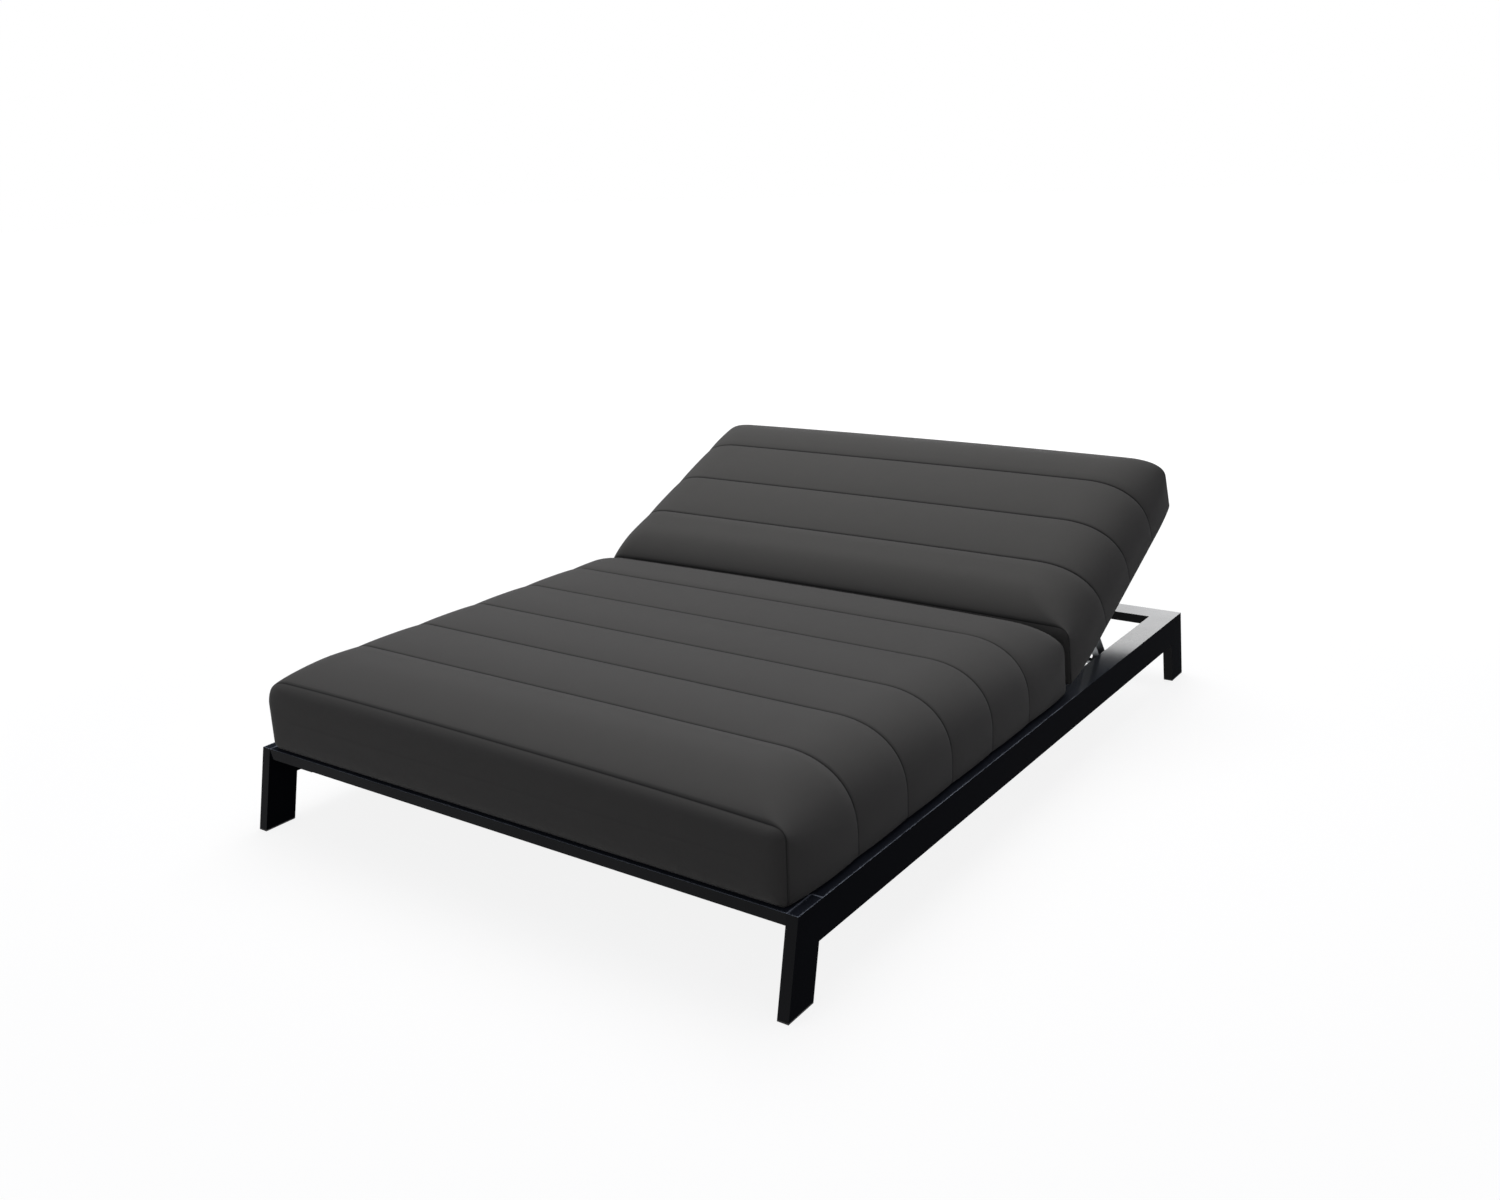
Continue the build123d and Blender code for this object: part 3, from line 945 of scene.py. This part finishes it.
    def surface(self) -> tuple[np.ndarray, np.ndarray, np.ndarray, np.ndarray, np.ndarray]:
        """Work out the closed grid of the cushion.

        Returns:
            Points, faces, UV coordinates of the points in metres, how near each is to a seam, and
            which belong to a boxed panel.
        """
        along = self.stations()
        sizes = self.ring_sizes(along)
        right_across, right_up = self.half_outline(sizes, Side.RIGHT)
        left_across, left_up = self.half_outline(sizes, Side.LEFT)
        across = np.concatenate([right_across, left_across[:, -2:0:-1]], axis=1)
        up = np.concatenate([right_up, left_up[:, -2:0:-1]], axis=1)
        length = self.place.length
        pull = np.where(along < length / 2, 1, -1)[:, None] * up * np.tan(sizes["lean"])
        forth = along[:, None] + pull
        # How near each point is to a seam or to a panel's seam: it masks the painted crease shade of
        # the cloth, and it holds the points for the foam.
        seam = self.nearness(along, self.seam_reach)[:, None] + 0 * up
        from_panel = np.minimum(along, length - along)[:, None] / self.seam_reach
        seam = np.maximum(seam, 0.5 + 0.5 * np.cos(math.pi * np.clip(from_panel, 0, 1)))
        boxed = np.zeros_like(up)
        for panel, index, way in ((self.outer, 0, -1), (self.inner, -1, 1)):
            ring = self.cap(panel, across[index], forth[index], up[index], way)
            shade = np.zeros_like(ring[0])
            shade[0] = self.panel_seam_shade
            order = slice(None, None, way)
            rings = [part[order] for part in (*ring, shade, np.ones_like(shade))]
            old = (across, forth, up, seam, boxed)
            pairs = zip(rings, old) if way < 0 else zip(old, rings)
            across, forth, up, seam, boxed = (np.concatenate(pair) for pair in pairs)
        points = (
            np.array(self.place.start)
            + across[..., None] * np.array([1.0, 0.0, 0.0])
            + forth[..., None] * np.array(self.place.along)
            + up[..., None] * np.array(self.place.up)
        )
        rings, count = across.shape
        round_cushion = np.cumsum(
            np.linalg.norm(np.diff(points, axis=1, prepend=points[:, -1:]), axis=-1), axis=1
        )
        down_cushion = np.cumsum(
            np.linalg.norm(np.diff(points[:, 0], axis=0, prepend=points[:1, 0]), axis=-1)
        )
        uv = np.stack([round_cushion, down_cushion[:, None] + 0 * across], axis=-1)
        ring = np.arange(rings - 1)[:, None] * count
        here = np.arange(count)[None, :]
        there = (here + 1) % count
        beyond = ring + count
        faces = np.stack([ring + here, ring + there, beyond + there, beyond + here], axis=-1)
        slits = [self.slit(0, count), self.slit((rings - 1) * count, count)]
        faces = np.concatenate([faces.reshape(-1, 4), *slits])
        return points.reshape(-1, 3), faces, uv.reshape(-1, 2), seam.reshape(-1), boxed.reshape(-1)

    def held(self, piece: bpy.types.Object) -> np.ndarray:
        """How firmly each point is held: wholly on a seam, on a boxed panel and on the flat base."""
        mesh = piece.data
        seam, boxed = (np.empty(len(mesh.vertices), dtype=np.float32) for _ in range(2))
        mesh.attributes["seam"].data.foreach_get("value", seam)
        mesh.attributes["boxed"].data.foreach_get("value", boxed)
        height = (points_of(mesh) - np.array(self.place.start)) @ np.array(self.place.up)
        base = height < self.held_base_share * self.lower_radius
        return np.maximum.reduce([seam, boxed, base.astype(np.float32)])

    def build(self, finishes: Finishes) -> bpy.types.Object:
        """Sew, fill and dress the cushion.

        Args:
            finishes: The lounger's finishes.

        Returns:
            The finished cushion.
        """
        points, faces, uv, seam, boxed = self.surface()
        piece = mesh_from_grid(self.name, points, faces)
        mesh = piece.data
        layer = mesh.uv_layers.new(name="cloth")
        corners = np.empty(len(mesh.loops), dtype=np.int32)
        mesh.loops.foreach_get("vertex_index", corners)
        layer.data.foreach_set("uv", uv[corners].ravel().astype(np.float32))
        for label, values in (("seam", seam), ("boxed", boxed)):
            mark = mesh.attributes.new(label, "FLOAT", "POINT")
            mark.data.foreach_set("value", values.astype(np.float32))
        mesh.polygons.foreach_set("use_smooth", np.ones(len(mesh.polygons), dtype=bool))
        weld(piece)
        self.foam.settle(piece, self.held(piece))
        mesh.attributes.remove(mesh.attributes["boxed"])
        finishes.dress(piece, Slot.CUSHION_CLOTH)
        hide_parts(self.node)
        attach(piece, self.body.value)
        LOG.info("sewed %s with %d points", self.name, len(mesh.vertices))
        return piece


@dataclass
class Studio:
    """A plain pale floor, soft light from above and the camera at the photograph's angle."""

    # The camera was worked out from the lounger's corners in the photograph.
    camera_place: tuple[float, float, float] = (1.9682, -2.8078, 1.4477)
    yaw: float = 0.6223
    pitch: float = -0.2977
    roll: float = -0.0372
    lens: float = 33.603
    sensor: float = 36.0
    floor_reach: float = 60.0
    floor_colour: str = "#7c7c7c"
    near_glow: float = 0.87
    far_glow: float = 1.0
    glow_radii: tuple[float, float] = (1.7, 4.5)
    ambient: float = 0.185
    shade_tint: str = "#f1f1ff"
    ceiling: float = 0.09
    ceiling_tint: str = "#b4c8e4"
    # Degrees above the horizon between which the mirrored white gives way to the ceiling.
    ceiling_edge: tuple[float, float] = (9.0, 17.0)
    lamp_aim: tuple[float, float, float] = (0.0, 0.1, 0.2)

    def camera(self) -> None:
        """Stand the camera so that the lounger's corners fall where the photograph has them."""
        forward = np.array(
            [
                -math.sin(self.yaw) * math.cos(self.pitch),
                math.cos(self.yaw) * math.cos(self.pitch),
                math.sin(self.pitch),
            ]
        )
        level = np.array([math.cos(self.yaw), math.sin(self.yaw), 0.0])
        above = np.cross(level, forward)
        right = level * math.cos(self.roll) + above * math.sin(self.roll)
        upright = above * math.cos(self.roll) - level * math.sin(self.roll)
        turn = np.eye(4)
        turn[:3, 0], turn[:3, 1], turn[:3, 2] = right, upright, -forward
        turn[:3, 3] = self.camera_place
        data = bpy.data.cameras.new("photo_camera")
        data.lens = self.lens
        data.sensor_width = self.sensor
        data.sensor_fit = "HORIZONTAL"
        data.clip_end = 100.0
        camera = bpy.data.objects.new("photo_camera", data)
        camera.matrix_world = Matrix(turn.tolist())
        bpy.context.scene.collection.objects.link(camera)
        bpy.context.scene.camera = camera

    def floor(self) -> None:
        """Lay a pale floor that keeps the lounger's shadow and gives little light back.

        Its lit colour is added to a pale glow that only the camera, gloss and glass see, and that
        grows to full white away from the lounger.
        """
        reach = self.floor_reach
        corners = np.array([[-1, -1, 0], [1, -1, 0], [1, 1, 0], [-1, 1, 0]], dtype=float) * reach
        piece = mesh_from_grid("studio_floor", corners, np.array([[0, 1, 2, 3]]))
        material, tree = empty_material("pale_studio_floor")
        lit = add_node(
            tree, "BsdfDiffuse", {"Color": linear_colour(self.floor_colour), "Roughness": 0.0}
        )
        place = add_node(tree, "TexCoord").outputs["Object"]
        distance = add_node(tree, "VectorMath", {0: place}, operation="LENGTH")
        white = add_node(
            tree,
            "MapRange",
            {
                "Value": distance.outputs["Value"],
                "From Min": self.glow_radii[0],
                "From Max": self.glow_radii[1],
                "To Min": self.near_glow,
                "To Max": self.far_glow,
            },
            interpolation_type="SMOOTHSTEP",
        )
        strength = add_node(
            tree, "Math", {0: white.outputs["Result"], 1: self.seen(tree)}, operation="MULTIPLY"
        )
        glow = add_node(
            tree, "Emission", {"Color": linear_colour("#ffffff"), "Strength": strength.outputs[0]}
        )
        total = add_node(tree, "AddShader", {0: lit.outputs["BSDF"], 1: glow.outputs["Emission"]})
        add_node(tree, "OutputMaterial", {"Surface": total.outputs["Shader"]})
        piece.data.materials.append(material)

    @staticmethod
    def seen(tree: bpy.types.NodeTree) -> bpy.types.NodeSocket:
        """Tell the rays of the camera, of gloss and through glass from those that only light.

        Args:
            tree: Node tree that the nodes join.

        Returns:
            The socket that is 1 for a ray that is seen, and 0 for any other.
        """
        path = add_node(tree, "LightPath")
        sharp = add_node(
            tree,
            "Math",
            {0: path.outputs["Is Glossy Ray"], 1: path.outputs["Is Transmission Ray"]},
            operation="MAXIMUM",
        )
        any_seen = add_node(
            tree,
            "Math",
            {0: path.outputs["Is Camera Ray"], 1: sharp.outputs[0]},
            operation="MAXIMUM",
        )
        return any_seen.outputs[0]

    def world(self) -> None:
        """Surround the lounger with white that lights it only a little.

        Gloss and glass see the same white all round, under a dim ceiling.
        """
        world = bpy.data.worlds.new("studio_world")
        bpy.context.scene.world = world
        world.use_nodes = True
        tree = world.node_tree
        tree.nodes.clear()
        way = add_node(tree, "TexCoord").outputs["Generated"]
        height = add_node(tree, "SeparateXYZ", {"Vector": way}).outputs["Z"]
        mirrored = add_node(
            tree,
            "MapRange",
            {
                "Value": height,
                "From Min": math.sin(math.radians(self.ceiling_edge[0])),
                "From Max": math.sin(math.radians(self.ceiling_edge[1])),
                "To Min": 1.0,
                "To Max": self.ceiling,
            },
        )
        camera_ray = add_node(tree, "LightPath").outputs["Is Camera Ray"]
        shown = add_node(
            tree, "Math", {0: mirrored.outputs["Result"], 1: camera_ray}, operation="MAXIMUM"
        )
        seen = self.seen(tree)
        strength = add_node(tree, "Mix", {"Factor": seen, "A": self.ambient, "B": shown.outputs[0]})
        under_ceiling = add_node(
            tree,
            "Mix",
            {
                "Factor": shown.outputs[0],
                "A": linear_colour(self.ceiling_tint),
                "B": linear_colour("#ffffff"),
            },
            data_type="RGBA",
        )
        tint = add_node(
            tree,
            "Mix",
            {"Factor": seen, "A": linear_colour(self.shade_tint), "B": under_ceiling.outputs["Result"]},
            data_type="RGBA",
        )
        glow = add_node(
            tree,
            "Background",
            {"Color": tint.outputs["Result"], "Strength": strength.outputs["Result"]},
        )
        add_node(tree, "OutputWorld", {"Surface": glow.outputs["Background"]})

    def lights(self) -> None:
        """Hang a wide lamp above, a low one behind for the rail tops to mirror, and a faint fill."""
        lamps = (
            ("overhead_softbox", (-0.5, 0.7, 4.0), (2.6, 3.6), 109.0),
            ("rear_softbox", (-1.2, 6.0, 1.65), (3.4, 1.0), 55.0),
            ("front_fill", (-1.8, -5.0, 1.6), (2.4, 1.6), 16.0),
        )
        for name, place, size, power in lamps:
            data = bpy.data.lights.new(name, "AREA")
            data.shape = "RECTANGLE"
            data.size, data.size_y = size
            data.energy = power
            lamp = bpy.data.objects.new(name, data)
            aim = Vector(self.lamp_aim) - Vector(place)
            turn = aim.to_track_quat("-Z", "Y").to_matrix().to_4x4()
            lamp.matrix_world = Matrix.Translation(place) @ turn
            bpy.context.scene.collection.objects.link(lamp)

    def build(self) -> None:
        """Set the whole studio up."""
        bpy.context.scene.view_settings.view_transform = "Standard"
        self.camera()
        self.floor()
        self.world()
        self.lights()


@dataclass
class ChaiseLounger:
    """The whole lounger: its two cushions and its dressed metalwork."""

    recline: float = math.radians(25.5)
    seat_front_gap: float = 14 * MILLIMETRE
    seat_first_seam: float = 238 * MILLIMETRE
    seat_seam_spacing: float = 191.75 * MILLIMETRE
    seat_seams: int = 5
    seat_rear_from_hinge: float = -4 * MILLIMETRE
    back_start: float = 38 * MILLIMETRE
    back_end: float = 760 * MILLIMETRE
    back_lower_seam: float = 257 * MILLIMETRE
    back_seam_spacing: float = 171.5 * MILLIMETRE
    back_seams: int = 3
    back_tube: float = 25 * MILLIMETRE
    cushion_gap: float = 0.3 * MILLIMETRE

    def seat_cushion(self, hinge_y: float) -> QuiltedCushion:
        """Describe the seat cushion, from its front panel to its panel beside the hinge."""
        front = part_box("foot_rail")[0][1] + self.seat_front_gap
        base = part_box("foot_rail")[1][2] + self.cushion_gap
        length = hinge_y + self.seat_rear_from_hinge - front
        first = self.seat_first_seam - self.seat_front_gap
        return QuiltedCushion(
            name="seat_cushion_cover",
            node="seat_cushion",
            body=Body.FRAME,
            place=CushionPlace((0.0, front, base), (0, 1, 0), (0, 0, 1), length),
            seams=tuple(first + self.seat_seam_spacing * np.arange(self.seat_seams)),
            outer=EndPanel(
                height=167 * MILLIMETRE,
                roll_length=140 * MILLIMETRE,
                left_corner=(75 * MILLIMETRE, 60 * MILLIMETRE),
                right_corner=(28 * MILLIMETRE, 22 * MILLIMETRE),
                tilt=-8 * MILLIMETRE,
                left_droop=5 * MILLIMETRE,
                right_droop=5 * MILLIMETRE,
                draw=15 * MILLIMETRE,
                bulge=18 * MILLIMETRE,
                bulge_power=6.0,
                roll_power=1.5,
            ),
            inner=EndPanel(
                height=172 * MILLIMETRE,
                roll_length=130 * MILLIMETRE,
                left_corner=(130 * MILLIMETRE, 90 * MILLIMETRE),
                right_corner=(65 * MILLIMETRE, 45 * MILLIMETRE),
                lean=math.radians(9),
                left_droop=16 * MILLIMETRE,
                right_droop=20 * MILLIMETRE,
                droop_power=2.5,
                bulge=4 * MILLIMETRE,
            ),
            shoulders=Shoulders(
                left_outer=125 * MILLIMETRE,
                left_hinge=130 * MILLIMETRE,
                right_outer=175 * MILLIMETRE,
                right_hinge=175 * MILLIMETRE,
            ),
            thickness=202 * MILLIMETRE,
            lower_radius=14 * MILLIMETRE,
        )

    def back_cushion(self, hinge_y: float, hinge_z: float) -> QuiltedCushion:
        """Describe the back cushion, from its panel at the head end to its panel at the hinge."""
        forward = np.array([0.0, math.cos(self.recline), math.sin(self.recline)])
        upward = np.array([0.0, -math.sin(self.recline), math.cos(self.recline)])
        start = (
            np.array([0.0, hinge_y, hinge_z])
            + forward * self.back_end
            + upward * (self.back_tube / 2 + self.cushion_gap)
        )
        length = self.back_end - self.back_start
        last = self.back_end - self.back_lower_seam
        return QuiltedCushion(
            name="back_cushion_cover",
            node="back_cushion",
            body=Body.BACKREST,
            place=CushionPlace(tuple(start), tuple(-forward), tuple(upward), length),
            seams=tuple(last - self.back_seam_spacing * np.arange(self.back_seams)[::-1]),
            outer=EndPanel(
                height=150 * MILLIMETRE,
                roll_length=120 * MILLIMETRE,
                left_corner=(80 * MILLIMETRE, 55 * MILLIMETRE),
                right_corner=(60 * MILLIMETRE, 45 * MILLIMETRE),
                left_droop=5 * MILLIMETRE,
                right_droop=5 * MILLIMETRE,
                bulge=5 * MILLIMETRE,
            ),
            inner=EndPanel(
                height=151 * MILLIMETRE,
                roll_length=115 * MILLIMETRE,
                left_corner=(50 * MILLIMETRE, 40 * MILLIMETRE),
                right_corner=(30 * MILLIMETRE, 26 * MILLIMETRE),
                lean=math.radians(15),
                left_droop=2 * MILLIMETRE,
                right_droop=2 * MILLIMETRE,
                draw=12 * MILLIMETRE,
                roll_power=1.45,
            ),
            shoulders=Shoulders(
                left_outer=200 * MILLIMETRE,
                left_hinge=110 * MILLIMETRE,
                right_outer=170 * MILLIMETRE,
                right_hinge=170 * MILLIMETRE,
            ),
            thickness=197.5 * MILLIMETRE,
            half_width=737 * MILLIMETRE,
            crown=5 * MILLIMETRE,
            base_draw=0.0,
            lower_radius=6 * MILLIMETRE,
        )

    def build(self, frame: dict, finishes: Finishes) -> None:
        """Dress the metalwork and sew both cushions."""
        finishes.dress_nodes(frame)
        hinge = next(joint for joint in frame["joints"] if joint["name"] == "backrest_recline")
        _, hinge_y, hinge_z = hinge["pos_m"]
        self.seat_cushion(hinge_y).build(finishes)
        self.back_cushion(hinge_y, hinge_z).build(finishes)


def main() -> None:
    """Load the frame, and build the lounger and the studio."""
    logging.basicConfig(level=logging.INFO, format="%(name)s: %(message)s")
    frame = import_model()
    finishes = Finishes()
    ChaiseLounger().build(frame, finishes)
    Studio().build()


if __name__ == "__main__":
    main()
